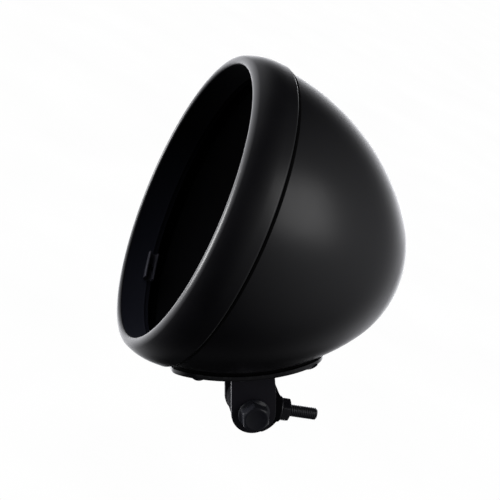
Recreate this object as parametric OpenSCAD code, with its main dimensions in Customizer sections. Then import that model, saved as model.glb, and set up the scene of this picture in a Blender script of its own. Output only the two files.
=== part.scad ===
// Round headlight housing: an open bowl with a deep trim rim, carried by two
// ears on a saddle plate and tilting on a swivel lug with a threaded stud.
// The lamp's axis is Y and its open front faces -Y. Millimetres.

/* [Rim] */
// Radial width of the rim, from its widest line in to the opening
rim_face_w = 10.1; // [9.8:0.1:12]
// Length of the rim along the lamp's axis
rim_depth = 25.8; // [25.2:0.2:28]
// Distance behind the front edge at which the rim is widest
rim_crown_y = 19.5; // [18:0.5:20]
// Radius of the soft front corner of the rim
rim_nose_r = 4.5; // [3.5:0.1:5]
// Radius of the rim's inner front edge
rim_lip_r = 1.8; // [1.6:0.1:2.4]
// Sheet thickness of the rim
rim_wall = 1.5; // [1:0.1:1.5]
// Length of the rim's inner skirt, from the front edge
skirt_depth = 20.5; // [20.5:0.5:24]

/* [Shell] */
// Greatest outside diameter of the shell
shell_d = 192.1; // [186:0.1:198]
// Distance behind the front edge at which the shell is widest
shell_crown_y = 17; // [16:0.5:18]
// Depth from the rim's front edge to the tip of the shell's rounded end
shell_depth = 146; // [143:0.5:150]
// Radius of the long side curve of the shell
side_r = 148; // [144:1:152]
// Sheet thickness of the shell
shell_wall = 1.6; // [1.2:0.1:2]
// Place of the shell's front edge inside the rim
shell_front_y = 15.5; // [15.5:0.1:15.9]
// Width of the shell's turned-in front flange
flange_w = 4.55; // [3.6:0.05:4.8]
// Radius of the flat pressed into the shell's tip
tip_flat_r = 15; // [14.5:0.5:17]

/* [Grommet] */
// Diameter of the wire hole in the shell's tip
wire_hole_d = 21; // [19:0.5:22]
// Diameter of the passage through the rubber grommet
wire_bore_d = 12; // [8:0.5:13]
// Thickness of each lip of the grommet
grommet_lip = 1.8; // [1.4:0.1:2.4]
// Overhang of the grommet's lips past the hole
grommet_overhang = 2.8; // [2:0.1:3]

/* [Rim seal] */
// Length of the rubber seal tucked under the rim
seal_tuck = 3.2; // [2:0.1:3.2]
// Length of the seal that shows behind the rim
seal_show = 2.2; // [1.6:0.1:2.6]
// Height of the showing seal above the shell
seal_rise = 0.8; // [0.6:0.1:1.2]

/* [Retaining clips] */
// Width of a clip along the lamp's axis
clip_w = 6.4; // [6:0.1:7]
// Length of a clip around the opening
clip_l = 20; // [16:0.5:22]
// Height of a clip's two flanges
clip_h = 4.2; // [3.4:0.1:4.8]
// Sheet thickness of the clips and the rim hook
clip_t = 1.2; // [1:0.1:1.4]
// Turn of the two lower clips away from straight down
clip_turn = 40; // [35:1:60]
// Shank diameter of the clip rivets
clip_rivet_d = 2.4; // [2:0.1:2.8]

/* [Rim fastening] */
// Distance of the rim screw behind the front edge
rim_screw_y = 20.3; // [20.2:0.1:20.6]
// Thread diameter of the rim screw
rim_screw_d = 3.5; // [2.5:0.1:3.6]
// Width across the square nut of the rim screw
rim_nut_w = 6; // [5:0.1:6.2]
// Thickness of the square nut
rim_nut_t = 3; // [2.4:0.1:3.2]
// Width of the hook that catches the shell at the top
hook_w = 16; // [10:0.5:20]

/* [Saddle] */
// Width of the saddle plate across the lamp
saddle_w = 80; // [76:1:84]
// Length of the saddle plate along the shell
saddle_l = 97; // [92:1:100]
// Corner radius at the front of the saddle plate
saddle_front_r = 14; // [8:0.5:18]
// Corner radius at the rear of the saddle plate
saddle_rear_r = 30; // [20:0.5:34]
// Thickness of the saddle plate
saddle_t = 3; // [2.5:0.1:4]
// Thickness of the rubber pad between saddle plate and shell
pad_t = 2; // [1:0.1:2.5]
// Slide of the saddle plate along the shell, forward of the pivot
saddle_lead = 4.5; // [3:0.5:6]
// Shank diameter of the saddle rivets
saddle_rivet_d = 5; // [4:0.5:6]
// Height of a saddle rivet's head above the plate
saddle_rivet_h = 2; // [1.6:0.1:2.4]
// Distance of the rivets from the middle plane
saddle_rivet_x = 27; // [25:0.5:29]
// Distance of the rivets from the saddle plate's front and rear edges
saddle_rivet_edge = 15; // [13:0.5:17]

/* [Ears and pivot] */
// Distance of the pivot behind the front edge
pivot_y = 100.5; // [98:0.5:102]
// Drop of the pivot below the shell's widest line
pivot_stand = 11.95; // [10:0.05:15]
// Lean of the ears from straight down, toward the rear
ear_rake = 26.5; // [24:0.5:29]
// Width of the ears
ear_w = 28.4; // [27:0.2:30]
// Thickness of the ears
ear_t = 3; // [2.5:0.1:4]
// Clear gap between the two ears
ear_gap = 23.2; // [21:0.1:26]
// Radius of the weld along the foot of each ear
weld_r = 3.2; // [2.5:0.1:4]
// Shank diameter of the pivot bolt
pivot_d = 10; // [9:0.5:11]
// Flange diameter of the pivot bolt
pivot_flange_d = 20.4; // [19.5:0.1:23]
// Width across the flats of the pivot bolt's head and nut
pivot_af = 16; // [15:0.5:17]
// Height of the pivot bolt's head above its flange
pivot_head_h = 6.8; // [5:0.1:8]
// Outside diameter of the pivot washer
pivot_washer_d = 21; // [20:0.5:24]

/* [Swivel lug and stud] */
// Upward slope of the stud, rearward
stud_slope = 12.5; // [8:0.5:16]
// Drop of the stud's line below the pivot
stud_drop = 1.1; // [0:0.1:3]
// Distance from the pivot to the lug's rear face
lug_reach = 18.6; // [18:0.1:20]
// Outside diameter of the lug's eye around the pivot
lug_eye_d = 27; // [24:0.5:28]
// Radius of the lug's rounded heel
lug_heel_r = 18.3; // [17.8:0.1:19]
// Height of the heel's centre above the pivot line
lug_heel_rise = 2.2; // [1.6:0.1:2.6]
// Height of the lug above the pivot line
lug_top = 16; // [14:0.5:17]
// Diameter of the stud
stud_d = 8; // [7:0.5:9]
// Distance from the pivot to the stud's free end
stud_end = 44.8; // [42:0.2:60]
// Length of the stud sunk in the lug
stud_sunk = 9.5; // [8:0.5:10]
// Width across the flats of the stud nut
stud_nut_af = 14; // [13:0.5:14.5]
// Thickness of the stud nut
stud_nut_h = 5.8; // [4:0.1:7]
// Outside diameter of the stud washer
stud_washer_d = 17; // [16:0.5:18]
// Thickness of the pivot and stud washers
washer_t = 1.6; // [1.2:0.1:2]

/* [Clearances] */
// Radial gap between the rim's bore and the shell
rim_gap = 0.45; // [0.3:0.05:0.6]
// Radial clearance of a rivet or screw in its hole
hole_gap = 0.1; // [0.05:0.05:0.2]
// Radial running clearance of the pivot bolt in the lug
running_gap = 0.05; // [0.02:0.01:0.1]
// Clearance on each side of the lug between the ears
side_gap = 0.3; // [0.2:0.05:0.5]

/* [Hidden] */
$fn = 96;

body_black = [0.06, 0.06, 0.065];
part_black = [0.11, 0.11, 0.12];
rubber_black = [0.03, 0.03, 0.03];
bolt_black = [0.2, 0.2, 0.22];

// The rim goes over the shell, and the pivot lies under it.
shell_r = shell_d / 2;
rim_bore_r = shell_r + rim_gap;
rim_r = rim_bore_r + rim_wall;
opening_r = rim_r - rim_face_w;
flange_r = shell_r - flange_w;
pivot_drop = shell_r + pivot_stand;

// Rim section: a small nose arc that runs into a long crown arc.
nose_centre_r = opening_r + rim_lip_r + 0.3;
nose_to_crown = rim_crown_y - rim_nose_r;
nose_rise = rim_r - nose_centre_r;
crown_r = (pow(nose_to_crown, 2) + pow(nose_rise, 2) - pow(rim_nose_r, 2)) / (2 * (nose_rise - rim_nose_r));
crown_centre_r = rim_r - crown_r;
crown_angle = atan2(nose_to_crown, nose_centre_r - crown_centre_r);

// Shell section: one long side arc, tangent to a round cap centred on the axis.
// A shell too deep for the two gets a straight stretch before the side arc.
side_centre_r = shell_r - side_r;
least_cap_r = 0.7 * shell_r;
least_join = acos(-side_centre_r / (side_r - least_cap_r));
arc_reach = (side_r - least_cap_r) * sin(least_join) + least_cap_r;
arc_y = shell_crown_y + max(0, shell_depth - shell_crown_y - arc_reach);
join_angle = 90 - 2 * atan((arc_y + side_r - shell_depth) / -side_centre_r);
cap_r = side_r + side_centre_r / cos(join_angle);
cap_centre_y = shell_depth - cap_r;
tip_angle = acos(tip_flat_r / cap_r);
tip_y = cap_centre_y + cap_r * sin(tip_angle);
tip_inner_y = cap_centre_y + (cap_r - shell_wall) * sin(tip_angle);

// Shell side arc seen from the pivot: along the shell, and up along the ears.
arc_along = (arc_y - pivot_y) * cos(ear_rake) + (pivot_drop - side_centre_r) * sin(ear_rake);
arc_up = (pivot_y - arc_y) * sin(ear_rake) + (pivot_drop - side_centre_r) * cos(ear_rake);
saddle_rise = pad_t + saddle_t;
ear_in = ear_gap / 2;
ear_out = ear_in + ear_t;
foot_up = height_to_shell(0, saddle_rise);
foot_r = pivot_drop - foot_up * cos(ear_rake);
weld_up = foot_up + (foot_r - sqrt(pow(foot_r, 2) - pow(ear_out, 2))) * cos(ear_rake);

// Hardware proportions.
seat_gap = 0.03;
catch_gap = 0.3;
saddle_head_ratio = 1.8;
saddle_tail_ratio = 1.5;
saddle_tail_h = 1.2;
clip_head_r = clip_w / 2 - clip_t - 0.2;
clip_head_h = 0.9;
screw_head_h = 2.2;
screw_head_ratio = 0.95;
edge_chamfer = 0.8;
pivot_flange_t = 2.2;
pivot_nut_h = 8;
pivot_tail = 2.4;
lug_w = ear_gap - 2 * side_gap;
lug_eye_r = lug_eye_d / 2;
lug_seat_d = stud_washer_d + 1;
lug_seat_h = 5;
stud_start = lug_reach - stud_sunk;
nut_face = lug_reach + washer_t;
nut_end = nut_face + stud_nut_h;
stud_mean_d = stud_d * 0.925;

// Points of an arc in (radius, length). Angle 0 points away from the axis and
// 90 to the rear. An arc that follows another leaves out its first point.
function arc_points(centre_r, centre_y, radius, from, to, steps, first = 0) = [
    for (i = [first : steps])
        let (a = from + (to - from) * i / steps)
        [centre_r + radius * cos(a), centre_y + radius * sin(a)]
];

// Slope of the shell's side at a distance behind the front edge, 0 where it is widest.
function side_angle(y) = asin((y < shell_crown_y ? y - shell_crown_y : max(0, y - arc_y)) / side_r);

// Height from the pivot up to the shell, grown by a distance, at a place along it.
function height_to_shell(along, grow) = arc_up - sqrt(pow(side_r + grow, 2) - pow(along - arc_along, 2));

// Turns a profile of (radius, length) about the lamp's axis.
module turned() {
    rotate([-90, 0, 0])
        rotate_extrude($fn = 180)
            children();
}

// Half section of the solid bowl, grown by a distance.
module bowl_section(grow, front_y) {
    polygon(concat(
        [[0, front_y], [side_centre_r + (side_r + grow) * cos(side_angle(front_y)), front_y]],
        arc_points(side_centre_r, arc_y, side_r + grow, 0, join_angle, 14),
        arc_points(0, cap_centre_y, cap_r + grow, join_angle, tip_angle, 9, 1),
        [[0, cap_centre_y + (cap_r + grow) * sin(tip_angle)]]
    ));
}

// Solid bowl, grown by a distance from the shell's outside.
module bowl(grow) {
    turned()
        bowl_section(grow, shell_front_y);
}

// Lays children on the bowl's side with Z outward: y is the distance behind
// the front edge and turn the angle from straight down.
module on_side(y, turn) {
    a = side_angle(y);
    rotate([0, turn, 0])
        translate([0, y, -(side_centre_r + side_r * cos(a))])
            rotate([180 + a, 0, 0])
                children();
}

// Lays children at the pivot with Y rearward along the shell and Z up the ears.
module on_ears() {
    translate([0, pivot_y, -pivot_drop])
        rotate([ear_rake, 0, 0])
            children();
}

// Lays children at the pivot with Y rearward along the stud's slope.
module on_lug() {
    translate([0, pivot_y, -pivot_drop])
        rotate([stud_slope, 0, 0])
            children();
}

// Lays children drawn along Z on the stud's line, rearward from the pivot.
module along_stud() {
    on_lug()
        translate([0, 0, -stud_drop])
            rotate([-90, 0, 0])
                children();
}

// Lays children drawn along Z on the pivot's line, toward +X.
module along_pivot() {
    translate([0, pivot_y, -pivot_drop])
        rotate([0, 90, 0])
            children();
}

// Extrudes a side outline of (rearward, up) across the lamp from a start in X.
module across(start, width) {
    translate([start, 0, 0])
        rotate([90, 0, 90])
            linear_extrude(width)
                children();
}

// Hexagonal prism with both ends chamfered at the corners, drawn from z = 0.
module hex_block(flats, height) {
    corner_r = flats / sqrt(3);
    slope = (corner_r - flats / 2) * 0.6;
    intersection() {
        rotate([0, 0, 30])
            cylinder(r = corner_r, h = height, $fn = 6);
        rotate_extrude()
            polygon([
                [0, 0],
                [flats / 2, 0],
                [corner_r, slope],
                [corner_r, height - slope],
                [flats / 2, height],
                [0, height]
            ]);
    }
}

// Deep bowl with a turned-in front flange and a flat tip for the wires.
module shell() {
    color(body_black)
        difference() {
            bowl(0);
            turned()
                intersection() {
                    bowl_section(-shell_wall, shell_front_y);
                    translate([0, shell_front_y + shell_wall])
                        square([shell_r, shell_depth]);
                }
            turned()
                translate([0, shell_front_y - 1])
                    square([flange_r, shell_wall + 2]);
            rotate([-90, 0, 0])
                cylinder(d = wire_hole_d, h = shell_depth + 10);
            rim_screw_hole();
            saddle_rivet_holes();
        }
}

// Folded rim: the crown skin, the soft nose and the inner skirt in one section.
module trim_rim() {
    skirt_out = opening_r + rim_wall;
    color(body_black)
        difference() {
            turned()
                polygon(concat(
                    arc_points(opening_r + rim_lip_r, rim_lip_r, rim_lip_r, -180, -90, 6),
                    arc_points(nose_centre_r, rim_nose_r, rim_nose_r, -90, -crown_angle, 8),
                    arc_points(crown_centre_r, rim_crown_y, crown_r, -crown_angle, 0, 8, 1),
                    arc_points(rim_bore_r, rim_depth - rim_wall, rim_wall, 0, 90, 5),
                    arc_points(crown_centre_r, rim_crown_y, crown_r - rim_wall, 0, -crown_angle, 8),
                    arc_points(nose_centre_r, rim_nose_r, rim_nose_r - rim_wall, -crown_angle, -90, 8, 1),
                    [[skirt_out, rim_wall], [skirt_out, skirt_depth], [opening_r, skirt_depth]]
                ));
            rim_screw_hole();
            clip_rivet_holes();
        }
}

// Rubber seal squeezed between the rim's rear edge and the shell.
module rim_seal() {
    root_r = shell_r - 3;
    bead_r = rim_bore_r + seal_rise;
    round_r = seal_show / 2;
    color(rubber_black)
        turned()
            difference() {
                union() {
                    translate([root_r, rim_depth - seal_tuck])
                        square([rim_bore_r - root_r, seal_tuck]);
                    translate([root_r, rim_depth])
                        square([bead_r - root_r, round_r]);
                    translate([root_r, rim_depth])
                        square([bead_r - root_r - round_r, seal_show]);
                    translate([bead_r - round_r, rim_depth + round_r])
                        circle(r = round_r, $fn = 48);
                }
                bowl_section(0, shell_front_y);
            }
}

// Rubber grommet: a sleeve through the tip with a lip on either side.
module wire_grommet() {
    sleeve_r = wire_hole_d / 2 - hole_gap;
    lip_r = wire_hole_d / 2 + grommet_overhang;
    inner_end = tip_inner_y - grommet_lip;
    color(rubber_black)
        turned()
            difference() {
                union() {
                    translate([0, inner_end])
                        square([sleeve_r, tip_y + grommet_lip - inner_end]);
                    translate([0, tip_y])
                        square([lip_r, grommet_lip]);
                    translate([0, inner_end])
                        square([lip_r - 1, grommet_lip]);
                }
                translate([0, inner_end - 1])
                    square([wire_bore_d / 2, shell_depth]);
            }
}

// Channel-shaped clip on the skirt's inside, open toward the lamp's axis.
module clip(turn) {
    start_y = skirt_depth - clip_w;
    color(part_black)
        difference() {
            intersection() {
                turned() {
                    translate([opening_r - clip_t, start_y])
                        square([clip_t, clip_w]);
                    translate([opening_r - clip_h, start_y])
                        square([clip_h, clip_t]);
                    translate([opening_r - clip_h, skirt_depth - clip_t])
                        square([clip_h, clip_t]);
                }
                rotate([0, turn, 0])
                    translate([-clip_l / 2, 0, -rim_r])
                        cube([clip_l, rim_depth, rim_r]);
            }
            clip_rivet_holes();
        }
}

module clip_top() {
    clip(180);
}

module clip_left() {
    clip(clip_turn);
}

module clip_right() {
    clip(-clip_turn);
}

// Lays children on the skirt under each clip's middle, Z outward.
module at_clips() {
    for (turn = [180, clip_turn, -clip_turn])
        rotate([0, turn, 0])
            translate([0, skirt_depth - clip_w / 2, -opening_r])
                rotate([180, 0, 0])
                    children();
}

module clip_rivet_holes() {
    at_clips()
        translate([0, 0, -clip_t - 1])
            cylinder(d = clip_rivet_d + 2 * hole_gap, h = clip_t + rim_wall + 2, $fn = 32);
}

// Rivets that hold the clips: a flat head inside and a low tail outside.
module clip_rivets() {
    head_start = -clip_t - seat_gap - clip_head_h;
    color(bolt_black)
        at_clips() {
            translate([0, 0, head_start])
                cylinder(r = clip_head_r, h = clip_head_h, $fn = 32);
            translate([0, 0, head_start])
                cylinder(d = clip_rivet_d, h = rim_wall + clip_head_h - head_start, $fn = 32);
            translate([0, 0, rim_wall])
                cylinder(r = clip_head_r, h = clip_head_h, $fn = 32);
        }
}

// Hook on the skirt's outside: its upturned end lies behind the shell's flange,
// and its foot is open over the top clip's rivet.
module rim_hook() {
    skirt_out = opening_r + rim_wall;
    catch_y = shell_front_y + shell_wall + catch_gap;
    catch_r = flange_r + 2;
    foot_l = 8;
    color(part_black)
        difference() {
            intersection() {
                translate([-hook_w / 2, 0, 0])
                    cube([hook_w, rim_depth, rim_r]);
                turned() {
                    translate([skirt_out, catch_y - foot_l])
                        square([clip_t, foot_l]);
                    translate([skirt_out, catch_y])
                        square([catch_r - skirt_out, clip_t]);
                }
            }
            at_clips()
                cylinder(r = clip_head_r + catch_gap, h = rim_wall + clip_t + catch_gap, $fn = 32);
        }
}

// Hole for the rim screw through the rim and the shell, straight down.
module rim_screw_hole() {
    on_side(rim_screw_y, 0)
        translate([0, 0, -shell_wall - rim_nut_t - 1])
            cylinder(d = rim_screw_d + 2 * hole_gap, h = shell_wall + rim_nut_t + 8, $fn = 32);
}

// Pan-head screw, driven up through the rim and the shell into the nut.
module rim_screw() {
    head_r = rim_screw_d * screw_head_ratio;
    seat = rim_r - shell_r;
    tip = shell_wall + rim_nut_t + 1.5;
    color(bolt_black) {
        difference() {
            on_side(rim_screw_y, 0)
                difference() {
                    union() {
                        cylinder(r = head_r, h = seat + screw_head_h - edge_chamfer, $fn = 48);
                        translate([0, 0, seat + screw_head_h - edge_chamfer])
                            cylinder(r1 = head_r, r2 = head_r - edge_chamfer, h = edge_chamfer, $fn = 48);
                    }
                    translate([-head_r, -0.5, seat + screw_head_h - 1])
                        cube([2 * head_r, 1, 2]);
                }
            turned()
                square([rim_r + seat_gap, rim_depth]);
        }
        on_side(rim_screw_y, 0)
            translate([0, 0, -tip])
                cylinder(d = rim_screw_d, h = tip + seat + 0.5, $fn = 32);
    }
}

// Square nut welded inside the shell, its seat shaped to the wall.
module rim_nut() {
    color(bolt_black)
        difference() {
            intersection() {
                on_side(rim_screw_y, 0)
                    translate([-rim_nut_w / 2, -rim_nut_w / 2, -shell_wall - rim_nut_t])
                        cube([rim_nut_w, rim_nut_w, rim_nut_t + 1]);
                bowl(-shell_wall);
            }
            rim_screw_hole();
        }
}

// Front or rear half of the saddle's plan outline, with its own corner radius.
module saddle_half(corner_r, inset) {
    corner = corner_r - inset;
    x = saddle_w / 2 - corner_r;
    y = saddle_l / 2 - corner_r;
    translate([-x, 0])
        square([2 * x, y + corner]);
    translate([-x - corner, 0])
        square([2 * (x + corner), y]);
    for (side = [-1, 1])
        translate([side * x, y])
            circle(r = corner, $fn = 48);
}

// Plan outline of the saddle, its rear corners rounder than its front ones.
module saddle_outline(inset) {
    saddle_half(saddle_rear_r, inset);
    mirror([0, 1])
        saddle_half(saddle_front_r, inset);
}

// One layer of the saddle, between two distances from the shell's outside.
module saddle_layer(inner, outer, inset) {
    difference() {
        intersection() {
            on_ears()
                translate([0, -saddle_lead, 0])
                    linear_extrude(foot_up + saddle_w / 2)
                        saddle_outline(inset);
            bowl(outer);
        }
        bowl(inner);
        saddle_rivet_holes();
    }
}

module saddle_pad() {
    color(rubber_black)
        saddle_layer(0, pad_t, 1);
}

module saddle_plate() {
    color(body_black)
        saddle_layer(pad_t, saddle_rise, 0);
}

// Lays children on the four rivet places, Z outward from the shell.
module at_saddle_rivets() {
    for (side = [-1, 1], end = [-1, 1])
        let (
            along = -saddle_lead + end * (saddle_l / 2 - saddle_rivet_edge),
            y = pivot_y + along * cos(ear_rake) - height_to_shell(along, 0) * sin(ear_rake),
            radius = side_centre_r + side_r * cos(side_angle(y))
        )
        on_side(y, side * asin(saddle_rivet_x / radius))
            children();
}

module saddle_rivet_holes() {
    at_saddle_rivets()
        translate([0, 0, -shell_wall - 2])
            cylinder(d = saddle_rivet_d + 2 * hole_gap, h = shell_wall + saddle_rise + 4, $fn = 32);
}

// Saddle rivets: a domed head on the plate and a low tail inside the shell.
module saddle_rivets() {
    head_r = saddle_rivet_d / 2 * saddle_head_ratio;
    tail_r = saddle_rivet_d / 2 * saddle_tail_ratio;
    dome_r = (pow(head_r, 2) + pow(saddle_rivet_h, 2)) / (2 * saddle_rivet_h);
    color(part_black) {
        difference() {
            at_saddle_rivets()
                intersection() {
                    translate([0, 0, saddle_rise - 1])
                        cylinder(r = head_r, h = saddle_rivet_h + 2, $fn = 48);
                    translate([0, 0, saddle_rise + saddle_rivet_h - dome_r])
                        sphere(r = dome_r, $fn = 64);
                }
            bowl(saddle_rise);
        }
        at_saddle_rivets()
            translate([0, 0, -shell_wall - saddle_tail_h])
                cylinder(d = saddle_rivet_d, h = shell_wall + saddle_tail_h + saddle_rise + 0.5, $fn = 32);
        intersection() {
            at_saddle_rivets()
                translate([0, 0, -shell_wall - saddle_tail_h])
                    cylinder(r = tail_r, h = saddle_tail_h + 1, $fn = 32);
            bowl(-shell_wall);
        }
    }
}

// One ear: a plate with a round end, and the weld along its foot.
module ear(side) {
    color(body_black)
        difference() {
            on_ears() {
                across(side > 0 ? ear_in : -ear_out, ear_t) {
                    circle(d = ear_w);
                    translate([-ear_w / 2, 0])
                        square([ear_w, weld_up + 2 * saddle_rise]);
                }
                translate([side * ear_out, 0, weld_up])
                    rotate([90, 0, 0])
                        cylinder(r = weld_r, h = ear_w - 3, center = true, $fn = 32);
            }
            bowl(saddle_rise);
            along_pivot()
                cylinder(d = pivot_d + 4 * hole_gap, h = 3 * ear_gap, center = true);
        }
}

module ear_right() {
    ear(1);
}

module ear_left() {
    ear(-1);
}

// Flanged bolt through both ears and the lug, its head toward +X.
module pivot_bolt() {
    tail = ear_out + washer_t + pivot_nut_h + pivot_tail;
    color(bolt_black)
        along_pivot() {
            translate([0, 0, edge_chamfer - tail])
                cylinder(d = pivot_d, h = tail + ear_out);
            translate([0, 0, -tail])
                cylinder(d1 = pivot_d - 2 * edge_chamfer, d2 = pivot_d, h = edge_chamfer);
            translate([0, 0, ear_out])
                cylinder(d = pivot_flange_d, h = pivot_flange_t - edge_chamfer);
            translate([0, 0, ear_out + pivot_flange_t - edge_chamfer])
                cylinder(d1 = pivot_flange_d, d2 = pivot_af, h = 2 * edge_chamfer);
            translate([0, 0, ear_out + pivot_flange_t / 2])
                hex_block(pivot_af, pivot_flange_t / 2 + pivot_head_h);
        }
}

module pivot_washer() {
    color(bolt_black)
        along_pivot()
            translate([0, 0, -ear_out - washer_t])
                difference() {
                    cylinder(d = pivot_washer_d, h = washer_t);
                    translate([0, 0, -1])
                        cylinder(d = pivot_d + 4 * hole_gap, h = washer_t + 2);
                }
}

module pivot_nut() {
    color(bolt_black)
        along_pivot()
            translate([0, 0, -ear_out - washer_t - pivot_nut_h])
                difference() {
                    hex_block(pivot_af, pivot_nut_h);
                    translate([0, 0, -1])
                        cylinder(d = pivot_d + 2 * hole_gap, h = pivot_nut_h + 2);
                }
}

// Side outline of the lug: an eye that runs into a body with a round heel.
module lug_outline() {
    circle(r = lug_eye_r);
    intersection() {
        translate([0, lug_heel_rise])
            circle(r = lug_heel_r);
        polygon([
            [0, -lug_eye_r],
            [lug_reach, -lug_eye_r],
            [lug_reach, lug_top],
            [lug_reach / 4, lug_top],
            [-lug_eye_r * sin(35), lug_eye_r * cos(35)]
        ]);
    }
}

module swivel_lug() {
    color(part_black)
        difference() {
            union() {
                on_lug()
                    across(-lug_w / 2, lug_w)
                        lug_outline();
                along_stud()
                    translate([0, 0, lug_reach - lug_seat_h])
                        cylinder(d = lug_seat_d, h = lug_seat_h);
            }
            along_pivot()
                cylinder(r = pivot_d / 2 + running_gap, h = 2 * ear_gap, center = true);
            along_stud()
                translate([0, 0, stud_start])
                    cylinder(d = stud_mean_d + 2 * hole_gap, h = stud_sunk + 1);
        }
}

// Stud, chamfered at its free end. Where its thread is engaged, in the lug and
// the nut, it has the thread's mean diameter.
module stud() {
    color(bolt_black)
        along_stud() {
            translate([0, 0, stud_start])
                cylinder(d = stud_mean_d, h = nut_end - stud_start);
            translate([0, 0, nut_end])
                cylinder(d = stud_d, h = stud_end - edge_chamfer - nut_end);
            translate([0, 0, stud_end - edge_chamfer])
                cylinder(d1 = stud_d, d2 = stud_d - 2 * edge_chamfer, h = edge_chamfer);
        }
}

module stud_washer() {
    color(bolt_black)
        along_stud()
            translate([0, 0, lug_reach])
                difference() {
                    cylinder(d = stud_washer_d, h = washer_t);
                    translate([0, 0, -1])
                        cylinder(d = stud_d + 4 * hole_gap, h = washer_t + 2);
                }
}

module stud_nut() {
    color(bolt_black)
        along_stud()
            translate([0, 0, nut_face])
                difference() {
                    hex_block(stud_nut_af, stud_nut_h);
                    translate([0, 0, -1])
                        cylinder(d = stud_mean_d + 2 * hole_gap, h = stud_nut_h + 2);
                }
}

shell();
trim_rim();
rim_seal();
wire_grommet();
clip_top();
clip_left();
clip_right();
clip_rivets();
rim_hook();
rim_screw();
rim_nut();
saddle_pad();
saddle_plate();
saddle_rivets();
ear_left();
ear_right();
pivot_bolt();
pivot_washer();
pivot_nut();
swivel_lug();
stud();
stud_washer();
stud_nut();
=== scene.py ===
"""Looks of an empty round headlight housing on its tilting mount."""

import math

import bmesh
import bpy
from mathutils import Matrix, Vector, noise


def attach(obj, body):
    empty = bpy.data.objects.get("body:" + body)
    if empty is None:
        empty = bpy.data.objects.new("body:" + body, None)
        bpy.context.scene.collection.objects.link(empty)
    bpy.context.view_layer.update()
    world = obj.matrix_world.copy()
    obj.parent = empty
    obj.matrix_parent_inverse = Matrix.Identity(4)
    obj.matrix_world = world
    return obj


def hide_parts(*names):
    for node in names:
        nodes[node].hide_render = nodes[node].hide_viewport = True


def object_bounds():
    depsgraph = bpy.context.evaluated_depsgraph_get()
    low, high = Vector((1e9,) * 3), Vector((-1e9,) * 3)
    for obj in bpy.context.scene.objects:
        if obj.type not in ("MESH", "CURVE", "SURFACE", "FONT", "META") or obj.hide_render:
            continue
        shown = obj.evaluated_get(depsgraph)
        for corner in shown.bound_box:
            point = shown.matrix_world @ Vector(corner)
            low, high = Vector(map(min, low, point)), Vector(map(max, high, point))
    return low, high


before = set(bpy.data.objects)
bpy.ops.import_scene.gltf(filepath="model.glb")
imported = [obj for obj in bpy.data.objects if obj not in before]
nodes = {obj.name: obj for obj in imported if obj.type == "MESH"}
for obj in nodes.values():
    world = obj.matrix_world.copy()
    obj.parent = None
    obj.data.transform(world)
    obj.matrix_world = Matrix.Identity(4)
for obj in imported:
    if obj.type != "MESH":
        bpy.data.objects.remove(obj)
cad_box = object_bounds()
MM = 0.001

# Sizes of the solids, in millimetres.
RIM_R = 98.0
OPEN_R = 87.9
RIM_DEPTH = 25.8
RIM_CROWN_Y = 19.5
NOSE_R = 4.5
LIP_R = 1.8
RIM_WALL = 1.5
SKIRT = 20.5
SHELL_R = 96.05
SHELL_CROWN_Y = 17.0
SHELL_DEPTH = 146.0
SIDE_R = 148.0
SHELL_WALL = 1.6
SHELL_FRONT = 15.5
FLANGE_R = 91.5
TIP_FLAT_R = 15.0
WIRE_HOLE_R = 10.5
WIRE_BORE_R = 6.0
PAD_T = 2.0
PLATE_T = 3.0
SADDLE_W = 80.0
SADDLE_L = 97.0
SADDLE_FRONT_R = 14.0
SADDLE_REAR_R = 30.0
SADDLE_LEAD = 4.5
RIVET_EDGE = 15.0
RIVET_X = 27.0
PIVOT = Vector((0.0, 100.5, -108.0))
RAKE = math.radians(26.5)
SLOPE = math.radians(12.5)
EAR_W = 28.4
EAR_T = 3.0
EAR_IN = 11.6
EAR_OUT = EAR_IN + EAR_T
WASHER_T = 1.6
LUG_REACH = 18.6
STUD_DROP = 1.1
STUD_END = 44.8

# Sizes of the fine detail, in millimetres, and a few shares of the nuts' and threads' own sizes.
SKIRT_CUT = 0.35
SKIRT_OUTER_CUT = 0.5
BEAD_Y = 17.3
BEAD_H = 0.25
BEAD_HALF = 0.8
SEAL_PROUD = 0.4
SEAL_INWARD = 3.0
SEAL_AHEAD = 3.2
SEAL_BEHIND = 2.2
TOUCH_GAP = 0.02
GROMMET_LIP = 2.8
GROMMET_LIP_T = 1.8
RIVET_HEAD_R = 4.5
RIVET_SHANK_R = 2.5
RIVET_TAIL_R = 3.75
FRONT_DOME = 2.0
REAR_DOME = 1.2
EAR_EDGE = 0.5
EAR_SIDE_MID = 12.0
WELD_R = 2.3
WELD_SHORTER = 3.0
WELD_RIPPLE = 2.1
STUD_R = 4.0
STUD_FROM = 9.1
STUD_PITCH = 1.25
STUD_THREAD = 0.24
STUD_WASHER_R = 8.5
STUD_NUT_FLATS = 14.0
STUD_NUT_H = 5.8
BOLT_R = 5.0
BOLT_PITCH = 1.5
BOLT_THREAD = 0.7
BOLT_TAIL = 2.4
BOLT_FLANGE_R = 10.2
BOLT_FLANGE_T = 2.2
BOLT_FLATS = 16.0
BOLT_HEAD_H = 6.8
BOLT_FACE_R = 7.3
BOLT_SLOPE = 0.8
PIVOT_WASHER_R = 10.5
PIVOT_NUT_H = 8.0
HEX_FACE_SHARE = 0.96
HEX_CHAMFER_FALL = 0.55
THREAD_CREST = 0.14
THREAD_FLANK = 0.36
CLIP_W = 6.4
CLIP_LIP = 4.2
CLIP_T = 1.2
CLIP_HALF_L = 10.0
CLIP_PLACES = ((180, "top"), (40, "left"), (-40, "right"))

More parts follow.
